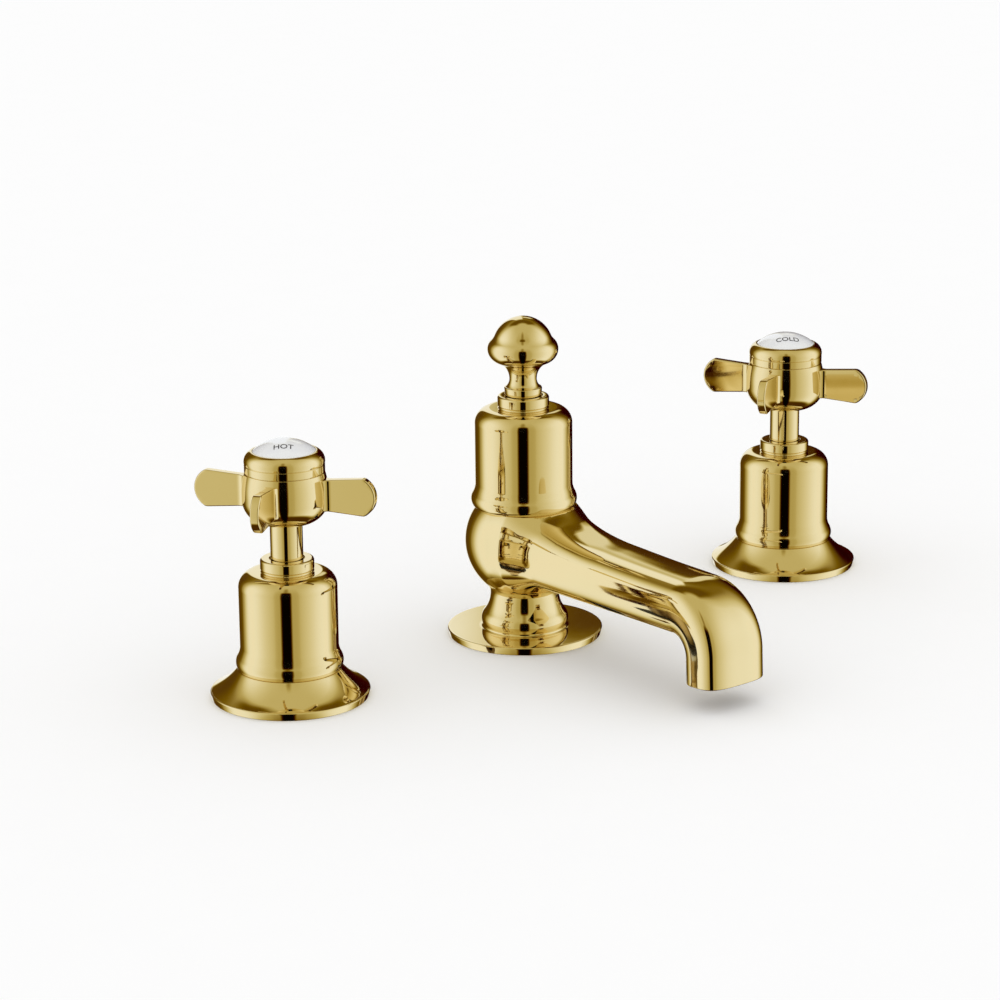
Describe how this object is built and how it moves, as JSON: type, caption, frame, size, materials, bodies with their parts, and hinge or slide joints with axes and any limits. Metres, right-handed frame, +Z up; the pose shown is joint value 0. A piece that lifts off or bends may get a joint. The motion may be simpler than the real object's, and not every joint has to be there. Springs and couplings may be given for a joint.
{
  "type": "bath filler tap",
  "caption": "Deck-mounted bath filler in polished brass: separate hot and cold valves with cross handles and bell covers, and a low curved spout topped by a lift knob.",
  "frame": {"origin": "centre of the spout's tap hole, on the deck's top plane", "axes": "+Z up out of the deck, -Y the way the spout pours, hot valve on -X and cold valve on +X"},
  "size_m": [0.3199, 0.1552, 0.2182],
  "materials": {
    "polished_brass": "mirror polished",
    "machined_brass": "turned, unpolished",
    "porcelain": "glazed white porcelain",
    "ceramic": "lapped ceramic",
    "rubber": "smooth moulded",
    "steel": "plain"
  },
  "bodies": {
    "deck_set": {"hot_deck_seal": "rubber", "hot_under_washer": "rubber", "hot_clamp_washer": "steel", "hot_backnut": "machined_brass", "hot_deck_flange": "polished_brass", "hot_valve_body": "machined_brass", "hot_cartridge_housing": "machined_brass", "hot_seat_seal": "rubber", "hot_fixed_disc": "ceramic", "hot_bell_cover": "polished_brass", "hot_collar_ring": "polished_brass", "cold_deck_seal": "rubber", "cold_under_washer": "rubber", "cold_clamp_washer": "steel", "cold_backnut": "machined_brass", "cold_deck_flange": "polished_brass", "cold_valve_body": "machined_brass", "cold_cartridge_housing": "machined_brass", "cold_seat_seal": "rubber", "cold_fixed_disc": "ceramic", "cold_bell_cover": "polished_brass", "cold_collar_ring": "polished_brass", "spout_deck_seal": "rubber", "spout_under_washer": "rubber", "spout_clamp_washer": "steel", "spout_backnut": "machined_brass", "spout_body": "polished_brass", "spout_shank": "machined_brass", "inlet_tee": "machined_brass", "tee_seal": "rubber", "rod_gland": "machined_brass", "rod_guide": "machined_brass", "spout_bell": "polished_brass", "spout_collar": "polished_brass"},
    "hot_handle": {"hot_moving_disc": "ceramic", "hot_spindle": "machined_brass", "hot_spindle_seals": "rubber", "hot_circlip": "steel", "hot_stem_sleeve": "polished_brass", "hot_cross_handle": "polished_brass", "hot_handle_screw": "steel", "hot_cap_ring": "polished_brass", "hot_index_disc": "porcelain"},
    "cold_handle": {"cold_moving_disc": "ceramic", "cold_spindle": "machined_brass", "cold_spindle_seals": "rubber", "cold_circlip": "steel", "cold_stem_sleeve": "polished_brass", "cold_cross_handle": "polished_brass", "cold_handle_screw": "steel", "cold_cap_ring": "polished_brass", "cold_index_disc": "porcelain"},
    "lift": {"rod_seals": "rubber", "lift_rod": "machined_brass", "lift_knob": "polished_brass"}
  },
  "joints": [
    {"name": "hot_turn", "type": "hinge", "parent": "deck_set", "child": "hot_handle", "pos_m": [-0.1154, 0, 0.0792], "axis": [0, 0, 1], "range_deg": [0, 90]},
    {"name": "cold_turn", "type": "hinge", "parent": "deck_set", "child": "cold_handle", "pos_m": [0.1431, 0, 0.0792], "axis": [0, 0, 1], "range_deg": [-90, 0]},
    {"name": "knob_lift", "type": "slide", "parent": "deck_set", "child": "lift", "axis": [0, 0, 1], "range_m": [0, 0.015]}
  ]
}
